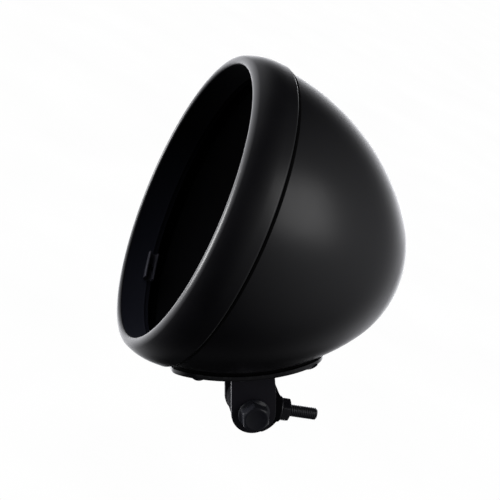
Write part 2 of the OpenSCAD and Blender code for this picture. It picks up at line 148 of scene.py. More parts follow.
# Values that follow from them.
NOSE_CR = OPEN_R + LIP_R + 0.3
NOSE_RUN = RIM_CROWN_Y - NOSE_R
NOSE_RISE = RIM_R - NOSE_CR
CROWN_R = (NOSE_RUN ** 2 + NOSE_RISE ** 2 - NOSE_R ** 2) / (2 * (NOSE_RISE - NOSE_R))
CROWN_CR = RIM_R - CROWN_R
CROWN_A = math.degrees(math.atan2(NOSE_RUN, NOSE_CR - CROWN_CR))
SIDE_CR = SHELL_R - SIDE_R
JOIN_A = 90 - 2 * math.degrees(math.atan((SHELL_CROWN_Y + SIDE_R - SHELL_DEPTH) / -SIDE_CR))
CAP_R = SIDE_R + SIDE_CR / math.cos(math.radians(JOIN_A))
CAP_CY = SHELL_DEPTH - CAP_R
TIP_A = math.degrees(math.acos(TIP_FLAT_R / CAP_R))
TIP_Y = CAP_CY + CAP_R * math.sin(math.radians(TIP_A))
JOIN_Y = SHELL_CROWN_Y + SIDE_R * math.sin(math.radians(JOIN_A))
SADDLE_RISE = PAD_T + PLATE_T
STUD_NUT_LOW = LUG_REACH + WASHER_T

# In metres: heights between which painted light makes the inside grow lighter, the depth from which a face
# that looks forward belongs to the inside, the floor, and the point that the soft boxes face.
PAINTED_LIGHT_FROM = 0.02
PAINTED_LIGHT_FULL = -0.075
SHELL_INSIDE_FROM = 0.03
FLOOR_DROP = 0.7
FLOOR_HALF = 30
LAMP_MIDDLE = Vector((0, 0.06, -0.02))
BOX_DISTANCE = 1.5

# The camera's place, its directions and its focal length against the frame's width, in pixels.
CAMERA_AT = Vector((0.9278, -0.2662, 0.2663))
VIEW_RIGHT = Vector((0.1696, 0.8806, 0.4424)).normalized()
VIEW_UP = Vector((-0.3801, -0.3557, 0.8538)).normalized()
VIEW_BACK = Vector((0.9092, -0.3130, 0.2744)).normalized()
FOCAL_PX = 1665.0
FRAME_PX = 500
SENSOR_MM = 36.0


# Materials

def shader(name):
    """A new material, its node tree and its surface shader."""
    material = bpy.data.materials.new(name)
    material.use_nodes = True
    tree = material.node_tree
    return material, tree, tree.nodes["Principled BSDF"]


def add_noise(tree, coords, scale, detail):
    """A noise texture over object coordinates."""
    node = tree.nodes.new("ShaderNodeTexNoise")
    node.inputs["Scale"].default_value = scale
    node.inputs["Detail"].default_value = detail
    tree.links.new(coords, node.inputs["Vector"])
    return node.outputs["Fac"]


def add_range(tree, value, low, high, to_low, to_high):
    """A value taken from one range to another."""
    node = tree.nodes.new("ShaderNodeMapRange")
    for key, number in (("From Min", low), ("From Max", high), ("To Min", to_low), ("To Max", to_high)):
        node.inputs[key].default_value = number
    tree.links.new(value, node.inputs["Value"])
    return node.outputs["Result"]


def add_mix(tree, fac, first, second):
    """A colour between two, by a factor. Each colour is a tuple or a socket."""
    node = tree.nodes.new("ShaderNodeMix")
    node.data_type = "RGBA"
    tree.links.new(fac, node.inputs[0])
    for socket, colour in ((node.inputs[6], first), (node.inputs[7], second)):
        if isinstance(colour, tuple):
            socket.default_value = (*colour, 1)
        else:
            tree.links.new(colour, socket)
    return node.outputs[2]


def finish_material(name, dark, light, rough, grain, grain_depth, patch=18, metal=0.0, ior=1.45,
                    wear=None, low_painted_light=None):
    """A paint, plating or rubber: patchy tone and gloss, and a fine grain.

    wear is the tone of raised edges, and low_painted_light is painted light: a lighter tone low down inside
    the bowl.
    """
    material, tree, surface = shader(name)
    coords = tree.nodes.new("ShaderNodeTexCoord").outputs["Object"]
    tone = add_range(tree, add_noise(tree, coords, patch, 5), 0.35, 0.65, 0, 1)
    colour = add_mix(tree, tone, dark, light)
    if wear:
        edge = tree.nodes.new("ShaderNodeNewGeometry").outputs["Pointiness"]
        raised = add_range(tree, edge, 0.52, 0.60, 0, 1)
        chips = add_range(tree, add_noise(tree, coords, 420, 4), 0.5, 0.62, 0, 1)
        both = tree.nodes.new("ShaderNodeMath")
        both.operation = "MULTIPLY"
        tree.links.new(raised, both.inputs[0])
        tree.links.new(chips, both.inputs[1])
        colour = add_mix(tree, both.outputs[0], colour, wear)
    # Painted light: the tone grows lighter towards the bottom of the inside, where light falls on it.
    if low_painted_light:
        parts = tree.nodes.new("ShaderNodeSeparateXYZ")
        tree.links.new(coords, parts.inputs[0])
        lower = add_range(tree, parts.outputs["Z"], PAINTED_LIGHT_FULL, PAINTED_LIGHT_FROM, 1, 0)
        colour = add_mix(tree, lower, colour, low_painted_light)
    tree.links.new(colour, surface.inputs["Base Color"])
    gloss = add_range(tree, add_noise(tree, coords, patch * 4, 6), 0.3, 0.7, rough[0], rough[1])
    tree.links.new(gloss, surface.inputs["Roughness"])
    bump = tree.nodes.new("ShaderNodeBump")
    bump.inputs["Strength"].default_value = 0.6
    bump.inputs["Distance"].default_value = grain_depth
    tree.links.new(add_noise(tree, coords, grain, 3), bump.inputs["Height"])
    tree.links.new(bump.outputs["Normal"], surface.inputs["Normal"])
    surface.inputs["Metallic"].default_value = metal
    surface.inputs["IOR"].default_value = ior
    return material


BODY = finish_material(
    "satin_black_coat", (0.0018, 0.0017, 0.0025), (0.0025, 0.0024, 0.0033), (0.32, 0.35), 1500, 0.00002,
    ior=1.35, wear=(0.02, 0.02, 0.021))
# Painted light: the ears' coat is the shell's black paint, set lighter to stand in for light that the lamps
# don't bring to them.
EAR_PAINTED_LIGHT_COAT = finish_material(
    "ear_black_coat_painted_light", (0.0090, 0.0084, 0.0114), (0.0102, 0.0096, 0.0128), (0.44, 0.48), 1500, 0.00002,
    patch=40, ior=1.2, wear=(0.008, 0.008, 0.009))
# The inside's black coat, with painted light that makes it lighter low down.
INSIDE = finish_material(
    "inner_black_coat_painted_light", (0.0010, 0.0011, 0.0014), (0.0014, 0.0015, 0.0019), (0.50, 0.56), 1300, 0.00002,
    ior=1.25, low_painted_light=(0.0028, 0.0030, 0.0042))
# The skirt's black coat, with strong painted light low down on it.
SKIRT_PAINTED_LIGHT_COAT = finish_material(
    "skirt_black_coat_painted_light", (0.0007, 0.0008, 0.0011), (0.0010, 0.0011, 0.0014), (0.52, 0.56), 1300, 0.00002,
    ior=1.1, low_painted_light=(0.0100, 0.0108, 0.0160))
# The clips' own steel tone, set lighter to stand in for light that the lamps don't bring to them: partly
# painted light.
CLIP_STEEL_AND_PAINTED_LIGHT = finish_material(
    "clip_steel_and_painted_light", (0.024, 0.024, 0.031), (0.029, 0.029, 0.036), (0.60, 0.66), 1300, 0.00002,
    patch=60, ior=1.15)
CAST = finish_material(
    "cast_lug", (0.0028, 0.0027, 0.0034), (0.0038, 0.0037, 0.0046), (0.72, 0.78), 700, 0.00004,
    patch=80, ior=1.06)
COATED = finish_material(
    "coated_steel", (0.0046, 0.0044, 0.0062), (0.0056, 0.0054, 0.0075), (0.48, 0.54), 1100, 0.00003,
    patch=60, ior=1.1, wear=(0.009, 0.009, 0.010))
STEEL = finish_material(
    "blackened_steel", (0.0060, 0.0058, 0.0080), (0.0085, 0.0082, 0.0110), (0.21, 0.25), 900, 0.00001,
    patch=110, metal=0.3, ior=1.4, wear=(0.03, 0.03, 0.032))
BOLT = finish_material(
    "blackened_bolt", (0.0100, 0.0104, 0.0130), (0.0120, 0.0124, 0.0155), (0.20, 0.24), 900, 0.00001,
    patch=110, ior=1.22)
RUBBER = finish_material(
    "black_rubber", (0.0008, 0.0008, 0.0009), (0.0014, 0.0014, 0.0015), (0.72, 0.86), 2200, 0.00004,
    patch=70, ior=1.12)


# Mesh making

def place(name, mesh, material, body, stands_for=(), sharp=32):
    """Links a mesh as a piece on a body, smooth but for its sharp edges."""
    mesh.materials.append(material)
    mesh.shade_smooth()
    mesh.set_sharp_from_angle(angle=math.radians(sharp))
    piece = bpy.data.objects.new(name, mesh)
    bpy.context.scene.collection.objects.link(piece)
    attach(piece, body)
    if stands_for:
        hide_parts(*stands_for)


def to_mesh(name, points, faces, matrix=None):
    """A mesh from points in millimetres, with its normals outward."""
    mesh = bpy.data.meshes.new(name)
    mesh.from_pydata([Vector(p) for p in points], [], faces)
    work = bmesh.new()
    work.from_mesh(mesh)
    if matrix:
        bmesh.ops.transform(work, matrix=matrix, verts=work.verts)
    bmesh.ops.scale(work, vec=(MM, MM, MM), verts=work.verts)
    bmesh.ops.remove_doubles(work, verts=work.verts, dist=1e-7)
    bmesh.ops.recalc_face_normals(work, faces=work.faces)
    work.to_mesh(mesh)
    work.free()
    return mesh


def ring_faces(rings, count, looped=False, closed=True):
    """Faces between rings of count points each.

    A looped row of rings joins its last ring to its first, and another gets a face at both ends.
    In a closed ring the last point joins the first.
    """
    faces = []
    for i in range(rings if looped else rings - 1):
        j = (i + 1) % rings
        for k in range(count if closed else count - 1):
            m = (k + 1) % count
            faces.append((i * count + k, i * count + m, j * count + m, j * count + k))
    if not looped:
        faces += [tuple(range(count)), tuple(range((rings - 1) * count, rings * count))]
    return faces


def arc(centre_r, centre_y, radius, start, end, steps, first=0):
    """Points (radius, length) of an arc: 0 degrees is away from the axis and 90 is rearward."""
    found = []
    for i in range(first, steps + 1):
        a = math.radians(start + (end - start) * i / steps)
        found.append((centre_r + radius * math.cos(a), centre_y + radius * math.sin(a)))
    return found


def turn_about_y(name, profile, segments, start=0.0, end=360.0):
    """Turns a closed profile of (radius, length) about the lamp's axis, all round or over part of it."""
    whole = abs(end - start - 360) < 1e-6
    rings = segments if whole else segments + 1
    points = []
    for i in range(rings):
        a = math.radians(start + (end - start) * i / segments)
        points += [(r * math.sin(a), y, -r * math.cos(a)) for r, y in profile]
    return to_mesh(name, points, ring_faces(rings, len(profile), looped=whole))


def turn_about_z(name, profile_at, segments, matrix):
    """Turns a profile, given for each angle, about local Z.

    The profile starts and ends on the axis, or else it is closed.
    """
    first = profile_at(0.0)
    points = []
    for i in range(segments):
        a = 2 * math.pi * i / segments
        points += [(r * math.cos(a), r * math.sin(a), z) for r, z in profile_at(a)]
    faces = ring_faces(segments, len(first), looped=True, closed=first[0][0] > 1e-6)
    return to_mesh(name, points, faces, matrix)


def fillet(profile, radii, steps=5):
    """Rounds the corners of a closed profile. radii gives the radius of each corner."""
    found = []
    count = len(profile)
    for i, corner in enumerate(profile):
        r = radii[i]
        here = Vector(corner)
        if r <= 0:
            found.append(tuple(here))
            continue
        a = (Vector(profile[i - 1]) - here).normalized()
        b = (Vector(profile[(i + 1) % count]) - here).normalized()
        half = math.acos(max(-1, min(1, a.dot(b)))) / 2
        reach = r / math.tan(half)
        centre = here + (a + b).normalized() * (r / math.sin(half))
        start = here + a * reach - centre
        end = here + b * reach - centre
        turn = start.angle_signed(end)
        for k in range(steps + 1):
            t = -turn * k / steps
            c, s = math.cos(t), math.sin(t)
            found.append((centre.x + start.x * c - start.y * s, centre.y + start.x * s + start.y * c))
    return found


# Rim: skin, nose, lip, folded rear edge and inner skirt in one section.
skirt_out = OPEN_R + RIM_WALL
rim_bore = RIM_R - RIM_WALL
skirt_end = [
    (skirt_out, RIM_WALL), (skirt_out, SKIRT - SKIRT_OUTER_CUT), (skirt_out - SKIRT_CUT, SKIRT),
    (OPEN_R + SKIRT_CUT, SKIRT), (OPEN_R, SKIRT - SKIRT_CUT),
]
bead = [
    (OPEN_R - BEAD_H * math.sin(math.pi * k / 6), BEAD_Y + BEAD_HALF - 2 * BEAD_HALF * k / 6)
    for k in range(7)
]
rim_profile = (
    arc(OPEN_R + LIP_R, LIP_R, LIP_R, -180, -90, 12)
    + arc(NOSE_CR, NOSE_R, NOSE_R, -90, -CROWN_A, 22)
    + arc(CROWN_CR, RIM_CROWN_Y, CROWN_R, -CROWN_A, 0, 26, 1)
    + arc(rim_bore, RIM_DEPTH - RIM_WALL, RIM_WALL, 0, 90, 8)
    + arc(CROWN_CR, RIM_CROWN_Y, CROWN_R - RIM_WALL, 0, -CROWN_A, 14)
    + arc(NOSE_CR, NOSE_R, NOSE_R - RIM_WALL, -CROWN_A, -90, 10, 1)
    + skirt_end + bead
)
rim_mesh = turn_about_y("rim_skin", rim_profile, 288)
place("rim_skin", rim_mesh, BODY, "lamp", ["trim_rim"])
rim_mesh.materials.append(SKIRT_PAINTED_LIGHT_COAT)
# Faces of the inner skirt take the skirt coat, with its painted light low down.
for face in rim_mesh.polygons:
    face_r = math.hypot(face.center.x, face.center.z)
    if face_r < (OPEN_R + 0.1) * MM and face.center.y > 1.5 * LIP_R * MM:
        face.material_index = 1

# Shell: long side curve, round cap, a flat at the tip and a turned-in front flange.
side_from = math.degrees(math.asin((SHELL_FRONT - SHELL_CROWN_Y) / SIDE_R))
inner_from = math.degrees(math.asin((SHELL_FRONT + SHELL_WALL - SHELL_CROWN_Y) / (SIDE_R - SHELL_WALL)))
tip_inner_y = CAP_CY + (CAP_R - SHELL_WALL) * math.sin(math.radians(TIP_A))
outer = (
    arc(SIDE_CR, SHELL_CROWN_Y, SIDE_R, side_from, JOIN_A, 56)
    + arc(0, CAP_CY, CAP_R, JOIN_A, TIP_A - 1.2, 34, 1)
    + [(TIP_FLAT_R - 0.6, TIP_Y - 0.03), (TIP_FLAT_R - 1.6, TIP_Y), (WIRE_HOLE_R, TIP_Y)]
)
inner = (
    [(WIRE_HOLE_R, tip_inner_y)]
    + arc(0, CAP_CY, CAP_R - SHELL_WALL, TIP_A, JOIN_A, 26)
    + arc(SIDE_CR, SHELL_CROWN_Y, SIDE_R - SHELL_WALL, JOIN_A, inner_from, 40, 1)
    + [(FLANGE_R, SHELL_FRONT + SHELL_WALL), (FLANGE_R, SHELL_FRONT)]
)
shell_mesh = turn_about_y("shell_skin", outer + inner, 240)
place("shell_skin", shell_mesh, BODY, "lamp", ["shell"])
shell_mesh.materials.append(INSIDE)
# Faces that look inward take the inside coat, with its painted light low down.
for face in shell_mesh.polygons:
    face_r = math.hypot(face.center.x, face.center.z)
    facing = face.normal.x * face.center.x + face.normal.z * face.center.z
    if facing < -0.02 * face_r or (face.normal.y < -0.5 and face.center.y > SHELL_INSIDE_FROM):
        face.material_index = 1

# Seal squeezed behind the rim.
bead_r = rim_bore + SEAL_PROUD
seal_in = SHELL_R - SEAL_INWARD
seal_front = RIM_DEPTH - SEAL_AHEAD
seal_rear = RIM_DEPTH + SEAL_BEHIND
seal_profile = fillet(
    [(seal_in, seal_front), (rim_bore - TOUCH_GAP, seal_front), (rim_bore - TOUCH_GAP, RIM_DEPTH + TOUCH_GAP),
     (bead_r, RIM_DEPTH + TOUCH_GAP), (bead_r, seal_rear), (seal_in, seal_rear)],
    [0, 0, 0, 0.3, 1.05, 0], 6)
place("seal_bead", turn_about_y("seal_bead", seal_profile, 240), RUBBER, "lamp", ["rim_seal"])

# Grommet round the wire hole, with soft lips.
sleeve = WIRE_HOLE_R - 0.1
lip_r = WIRE_HOLE_R + GROMMET_LIP
inner_end = tip_inner_y - GROMMET_LIP_T
outer_end = TIP_Y + GROMMET_LIP_T
grommet_profile = fillet(
    [(WIRE_BORE_R, inner_end), (lip_r - 1, inner_end), (lip_r - 1, tip_inner_y), (sleeve, tip_inner_y),
     (sleeve, TIP_Y), (lip_r, TIP_Y), (lip_r, outer_end), (WIRE_BORE_R, outer_end)],
    [0.6, 0.8, 0.4, 0, 0, 0.2, 1.2, 0.8], 6)
place("grommet_rubber", turn_about_y("grommet_rubber", grommet_profile, 96), RUBBER, "lamp", ["wire_grommet"])


# Saddle: pad and plate follow the bowl.

def on_ears(v, w, x=0.0):
    """A point at the pivot: v rearward along the shell, w up the ears."""
    return Vector((
        x,
        PIVOT.y + v * math.cos(RAKE) - w * math.sin(RAKE),
        PIVOT.z + v * math.sin(RAKE) + w * math.cos(RAKE),
    ))


def up_the_ears(point):
    """How far a point lies above the pivot, measured up the ears."""
    return (point - PIVOT).dot(Vector((0, -math.sin(RAKE), math.cos(RAKE))))


def bowl_radius(y, grow):
    """Radius of the bowl, grown by a distance, at a distance behind the front edge."""
    if y <= JOIN_Y:
        return SIDE_CR + math.sqrt(max(0, (SIDE_R + grow) ** 2 - (y - SHELL_CROWN_Y) ** 2))
    return math.sqrt(max(0, (CAP_R + grow) ** 2 - (y - CAP_CY) ** 2))


def onto_bowl(x, v, grow):
    """The point over a plan place (x, v) that lies a distance outside the bowl."""
    low, high = 0.0, 60.0
    for _ in range(40):
        w = (low + high) / 2
        p = on_ears(v, w, x)
        if math.hypot(p.x, p.z) > bowl_radius(p.y, grow):
            low = w
        else:
            high = w
    return on_ears(v, low, x)


def saddle_ring(inset, scale):
    """Plan outline of the saddle, drawn in by a distance and then scaled."""
    corners = ((1, 1, 0), (-1, 1, 90), (-1, -1, 180), (1, -1, 270))

    def on_corner(index, turn):
        sx, sv, start = corners[index % 4]
        corner = max(0.4, (SADDLE_REAR_R if sv > 0 else SADDLE_FRONT_R) - inset)
        a = math.radians(start + turn)
        x = sx * (SADDLE_W / 2 - inset - corner) + corner * math.cos(a)
        return x, sv * (SADDLE_L / 2 - inset - corner) + corner * math.sin(a)

    found = []
    for index in range(4):
        found += [on_corner(index, 90 * k / 16) for k in range(17)]
        last, target = found[-1], on_corner(index + 1, 0)
        for k in range(1, 16):
            found.append((last[0] + (target[0] - last[0]) * k / 16, last[1] + (target[1] - last[1]) * k / 16))
    return [(x * scale, v * scale - SADDLE_LEAD) for x, v in found]


def saddle_solid(name, inner_grow, outer_grow, inset, edge):
    """A sheet on the bowl between two distances, its outer edge rounded."""
    depths = (3, 6, 10, 14)
    scales = (0.02, 0.2, 0.4, 0.6, 0.8)
    rings = [(inset + depths[-1], scale, outer_grow) for scale in scales]
    rings += [(inset + d, 1.0, outer_grow) for d in (*reversed(depths), edge + 0.6)]
    for k in range(7):
        a = math.radians(90 * k / 6)
        rings.append((inset + edge * (1 - math.sin(a)), 1.0, outer_grow - edge * (1 - math.cos(a))))
    rings += [(inset, 1.0, inner_grow + 0.3), (inset + 0.3, 1.0, inner_grow)]
    rings += [(inset + d, 1.0, inner_grow) for d in depths]
    rings += [(inset + depths[-1], scale, inner_grow) for scale in reversed(scales)]
    points = []
    for depth, scale, grow in rings:
        points += [onto_bowl(x, v, grow) for x, v in saddle_ring(depth, scale)]
    return to_mesh(name, points, ring_faces(len(rings), len(points) // len(rings)))


plate_mesh = saddle_solid("saddle_sheet", PAD_T, SADDLE_RISE, 0.0, 0.9)
place("saddle_sheet", plate_mesh, BODY, "lamp", ["saddle_plate"], 40)
pad_mesh = saddle_solid("saddle_rubber", TOUCH_GAP, PAD_T - TOUCH_GAP, 1.0, 0.5)
place("saddle_rubber", pad_mesh, RUBBER, "lamp", ["saddle_pad"], 40)


# Four rivets through the saddle: a dome outside and an upset tail inside.

def side_matrix(y, turn):
    """Places Z outward from the bowl's side at a distance y, turned from straight down."""
    a = math.asin((y - SHELL_CROWN_Y) / SIDE_R)
    r = SIDE_CR + SIDE_R * math.cos(a)
    around = Matrix.Rotation(math.radians(turn), 4, "Y")
    return around @ Matrix.Translation((0, y, -r)) @ Matrix.Rotation(math.pi + a, 4, "X")


def rivet_profile(dome_h):
    """Section of a rivet from the top of its dome to the end of its tail."""
    wall = -SHELL_WALL
    dome_r = (RIVET_HEAD_R ** 2 + dome_h ** 2) / (2 * dome_h)
    found = []
    for k in range(10):
        t = math.asin(RIVET_HEAD_R / dome_r) * k / 9
        found.append((dome_r * math.sin(t), SADDLE_RISE + dome_h - dome_r + dome_r * math.cos(t)))
    found += [(RIVET_HEAD_R, SADDLE_RISE - 0.8), (RIVET_SHANK_R, SADDLE_RISE - 0.9)]
    found += [(RIVET_SHANK_R, wall + 0.2), (RIVET_TAIL_R, wall + 0.3), (RIVET_TAIL_R, wall - 0.6)]
    return found + [(RIVET_TAIL_R - 0.3, wall - 1.0), (RIVET_TAIL_R - 1.4, wall - 1.2), (0, wall - 1.2)]


rivet_parts = bmesh.new()
arc_up = (PIVOT.y - SHELL_CROWN_Y) * math.sin(RAKE) + (-PIVOT.z - SIDE_CR) * math.cos(RAKE)
arc_along = (SHELL_CROWN_Y - PIVOT.y) * math.cos(RAKE) + (-PIVOT.z - SIDE_CR) * math.sin(RAKE)
for end, dome_h in ((-1, FRONT_DOME), (1, REAR_DOME)):
    section = rivet_profile(dome_h)
    along = -SADDLE_LEAD + end * (SADDLE_L / 2 - RIVET_EDGE)
    height = arc_up - math.sqrt(SIDE_R ** 2 - (along - arc_along) ** 2)
    rivet_y = PIVOT.y + along * math.cos(RAKE) - height * math.sin(RAKE)
    reach = SIDE_CR + math.sqrt(SIDE_R ** 2 - (rivet_y - SHELL_CROWN_Y) ** 2)
    for side in (-1, 1):
        spot = side_matrix(rivet_y, side * math.degrees(math.asin(RIVET_X / reach)))
        rivet_parts.from_mesh(turn_about_z("rivet", lambda a: section, 36, spot))
rivets = bpy.data.meshes.new("rivet_domes")
rivet_parts.to_mesh(rivets)
rivet_parts.free()
place("rivet_domes", rivets, COATED, "lamp", ["saddle_rivets"])


# Ears with their welds

def ear_solid(name, side):
    """A plate with softened edges, a round end at the pivot and a foot that follows the saddle plate."""
    x_in, x_out = side * EAR_IN, side * EAR_OUT
    layers = []
    for k in range(5):
        a = math.radians(90 * k / 4)
        layers.append((x_in + side * EAR_EDGE * (1 - math.cos(a)), EAR_EDGE * (1 - math.sin(a))))
    for k in range(5):
        a = math.radians(90 * k / 4)
        layers.append((x_out - side * EAR_EDGE * (1 - math.sin(a)), EAR_EDGE * (1 - math.cos(a))))
    points = []
    for x, inset in layers:
        radius = EAR_W / 2 - inset
        ring = []
        for k in range(49):
            a = math.radians(180 + 180 * k / 48)
            ring.append((radius * math.cos(a), radius * math.sin(a)))
        ring.append((radius, EAR_SIDE_MID))
        for k in range(1, 25):
            v = radius - 2 * radius * k / 24
            ring.append((v, up_the_ears(onto_bowl(x, v, SADDLE_RISE - 0.4))))
        points += [on_ears(v, w, x) for v, w in ring]
    return to_mesh(name, points, ring_faces(len(layers), len(points) // len(layers)))


def weld_solid(name, side):
    """A rippled bead along the outer foot of an ear."""
    points = []
    length = EAR_W - WELD_SHORTER
    rows, around = 90, 20
    for i in range(rows + 1):
        t = i / rows
        v = -length / 2 + length * t
        ripple = abs(math.sin(math.pi * t * length / WELD_RIPPLE))
        taper = math.sqrt(1 - (2 * t - 1) ** 8)
        wobble = noise.noise(Vector((t * 9, side * 3.1, 0.4)))
        r = (WELD_R + 0.55 * ripple + 0.25 * wobble) * (0.25 + 0.75 * taper)
        w = up_the_ears(onto_bowl(side * (EAR_OUT + 0.5), v, SADDLE_RISE))
        for k in range(around):
            a = 2 * math.pi * k / around
            points.append(on_ears(v, w + r * math.sin(a), side * (EAR_OUT - 0.3) + r * math.cos(a)))
    return to_mesh(name, points, ring_faces(rows + 1, around))


for side, label in ((1, "right"), (-1, "left")):
    place("ear_plate_" + label, ear_solid("ear_plate_" + label, side), EAR_PAINTED_LIGHT_COAT, "lamp", ["ear_" + label])
    place("ear_weld_" + label, weld_solid("ear_weld_" + label, side), EAR_PAINTED_LIGHT_COAT, "lamp", (), 60)


# Fastenings

PIVOT_MATRIX = Matrix.Translation(PIVOT) @ Matrix.Rotation(math.pi / 2, 4, "Y")
STUD_MATRIX = (
    Matrix.Translation(PIVOT) @ Matrix.Rotation(SLOPE, 4, "X")
    @ Matrix.Translation((0, 0, -STUD_DROP)) @ Matrix.Rotation(-math.pi / 2, 4, "X")
)


def fasten(name, profile_at, segments, matrix, material, body, node, sharp=32):
    """Turns a fastening about its axis and places it for a solid."""
    place(name, turn_about_z(name, profile_at, segments, matrix), material, body, [node], sharp)


def hex_radius(flats, a, corner_cut=0.22):
    """Radius of a hexagon with its corners on the local Y axis, each corner slightly cut."""
    turn = (a + math.pi / 6) % (math.pi / 3) - math.pi / 6
    return min(flats / 2 / math.cos(turn), flats / math.sqrt(3) - corner_cut)


def hex_sides(flats, a, low, high):
    """Side of a hexagon block from its lower to its upper face, chamfered round the corners."""
    start = flats / 2 * HEX_FACE_SHARE
    edge = hex_radius(flats, a)
    middle = start + (edge - start) * 0.5
    drop = (edge - start) * HEX_CHAMFER_FALL
    found = [(start, low), (middle, low + drop * 0.5), (edge - 0.08, low + drop - 0.02)]
    found += [(edge, low + drop + 0.12), (edge, high - drop - 0.12)]
    return found + [(edge - 0.08, high - drop + 0.02), (middle, high - drop * 0.5), (start, high)]


def thread_dip(share):
    """Depth of a thread, from 0 at its crest to 1 at its root."""
    share %= 1.0
    if share < THREAD_CREST:
        return 0.0
    if share < THREAD_CREST + THREAD_FLANK:
        return (share - THREAD_CREST) / THREAD_FLANK
    if share < 2 * THREAD_CREST + THREAD_FLANK:
        return 1.0
    return 1 - (share - 2 * THREAD_CREST - THREAD_FLANK) / THREAD_FLANK


def thread_rows(radius, pitch, low, high, a, depth, runout):
    """Points along a thread at one angle. It fades out over a length at its low end."""
    rows = max(8, round((high - low) / pitch * 9))
    found = []
    for i in range(rows + 1):
        z = low + (high - low) * i / rows
        fade = min(1.0, (z - low) / runout)
        found.append((radius - depth * fade * thread_dip(z / pitch - a / (2 * math.pi)), z))
    return found


def washer_profile(bore, radius, low, high):
    """A stamped washer: soft upper edge, crisp lower one."""
    return fillet([(bore, low), (radius, low), (radius, high), (bore, high)], [0.1, 0.15, 0.45, 0.15], 4)


def nut_profile(flats, bore, low, high, sink=0.6):
    """Profile of a hexagon nut at each angle, with a countersunk bore."""
    def at(a):
        lower = [(bore, low + sink), (bore + sink, low)]
        return lower + hex_sides(flats, a, low, high) + [(bore + sink, high), (bore, high - sink)]
    return at


def stud_profile(a):
    """Plain root in the lug, then a thread from inside the nut to the chamfered end."""
    rows = thread_rows(
        STUD_R - 0.02, STUD_PITCH, STUD_NUT_LOW + STUD_NUT_H - 0.8, STUD_END - 0.8, a, STUD_THREAD, 1.2)
    end = [(min(rows[-1][0], STUD_R - 0.25), STUD_END - 0.75), (STUD_R - 0.8, STUD_END), (0, STUD_END)]
    return [(0, STUD_FROM), (STUD_R, STUD_FROM), (STUD_R, STUD_NUT_LOW)] + rows + end


def bolt_profile(a):
    """Flanged bolt: threaded tail, shank, flange with a conical top, hexagon head with a dished face."""
    tail = -(EAR_OUT + WASHER_T + PIVOT_NUT_H + BOLT_TAIL)
    rows = thread_rows(BOLT_R - 0.02, BOLT_PITCH, tail + 0.8, -EAR_OUT + 2, a, BOLT_THREAD, 0.01)
    shank = [(BOLT_R, -EAR_OUT + 2.2), (BOLT_R, EAR_OUT)]
    foot = hex_radius(BOLT_FLATS, a, 0.1)
    cone_r = BOLT_FLANGE_R - 0.8
    flange = [
        (BOLT_FLANGE_R - 0.3, EAR_OUT), (BOLT_FLANGE_R, EAR_OUT + 0.3), (BOLT_FLANGE_R, EAR_OUT + 0.8),
        (BOLT_FLANGE_R - 0.15, EAR_OUT + 1.1), (BOLT_FLANGE_R - 0.45, EAR_OUT + 1.4),
        (cone_r, EAR_OUT + 1.65), (min(foot + 0.35, cone_r - 0.12), EAR_OUT + 1.7 + (cone_r - foot) * 0.3),
    ]
    top = EAR_OUT + BOLT_FLANGE_T + BOLT_HEAD_H
    head = [
        (foot, flange[-1][1] + 0.3), (foot, top - (foot - BOLT_FACE_R) * BOLT_SLOPE - 0.12),
        (foot - 0.1, top - (foot - 0.1 - BOLT_FACE_R) * BOLT_SLOPE),
        (BOLT_FACE_R + 0.1, top - 0.07), (BOLT_FACE_R - 0.15, top),
    ]
    dish = [(6.6, top), (6.1, top - 0.12), (5.6, top - 0.3), (0, top - 0.36)]
    return [(0, tail), (BOLT_R - 0.8, tail)] + rows + shank + flange + head + dish


stud_washer = washer_profile(STUD_R + 0.2, STUD_WASHER_R, LUG_REACH, STUD_NUT_LOW)
stud_nut = nut_profile(STUD_NUT_FLATS, STUD_R + 0.1, STUD_NUT_LOW, STUD_NUT_LOW + STUD_NUT_H)
far_low = -EAR_OUT - WASHER_T - PIVOT_NUT_H
far_washer = washer_profile(BOLT_R + 0.2, PIVOT_WASHER_R, EAR_OUT, EAR_OUT + WASHER_T)
far_washer = [(r, -z) for r, z in reversed(far_washer)]
far_nut = nut_profile(BOLT_FLATS, BOLT_R + 0.1, far_low, far_low + PIVOT_NUT_H)
fasten("stud_thread", stud_profile, 72, STUD_MATRIX, STEEL, "mount", "stud", 50)
fasten("stud_washer_disc", lambda a: stud_washer, 72, STUD_MATRIX, STEEL, "mount", "stud_washer")
fasten("stud_nut_hex", stud_nut, 144, STUD_MATRIX, STEEL, "mount", "stud_nut", 25)
fasten("pivot_bolt_hex", bolt_profile, 144, PIVOT_MATRIX, BOLT, "lamp", "pivot_bolt", 28)
fasten("pivot_washer_disc", lambda a: far_washer, 72, PIVOT_MATRIX, STEEL, "lamp", "pivot_washer")
fasten("pivot_nut_hex", far_nut, 144, PIVOT_MATRIX, STEEL, "lamp", "pivot_nut", 25)


def rounded(name, node, material, body, width):
    """A copy of a solid with its sharp edges rounded."""
    work = bmesh.new()
    work.from_mesh(nodes[node].data)
    bmesh.ops.remove_doubles(work, verts=work.verts, dist=2e-6)
    bmesh.ops.dissolve_limit(work, angle_limit=math.radians(0.4), verts=work.verts, edges=work.edges)
    sharp = [e for e in work.edges if len(e.link_faces) == 2 and e.calc_face_angle(0) > math.radians(28)]
    bmesh.ops.bevel(
        work, geom=sharp, offset=width * MM, segments=3, profile=0.5, affect="EDGES", clamp_overlap=True)
    bmesh.ops.recalc_face_normals(work, faces=work.faces)
    mesh = bpy.data.meshes.new(name)
    work.to_mesh(mesh)
    work.free()
    place(name, mesh, material, body, [node], 30)


rounded("lug_block", "swivel_lug", CAST, "mount", 0.7)


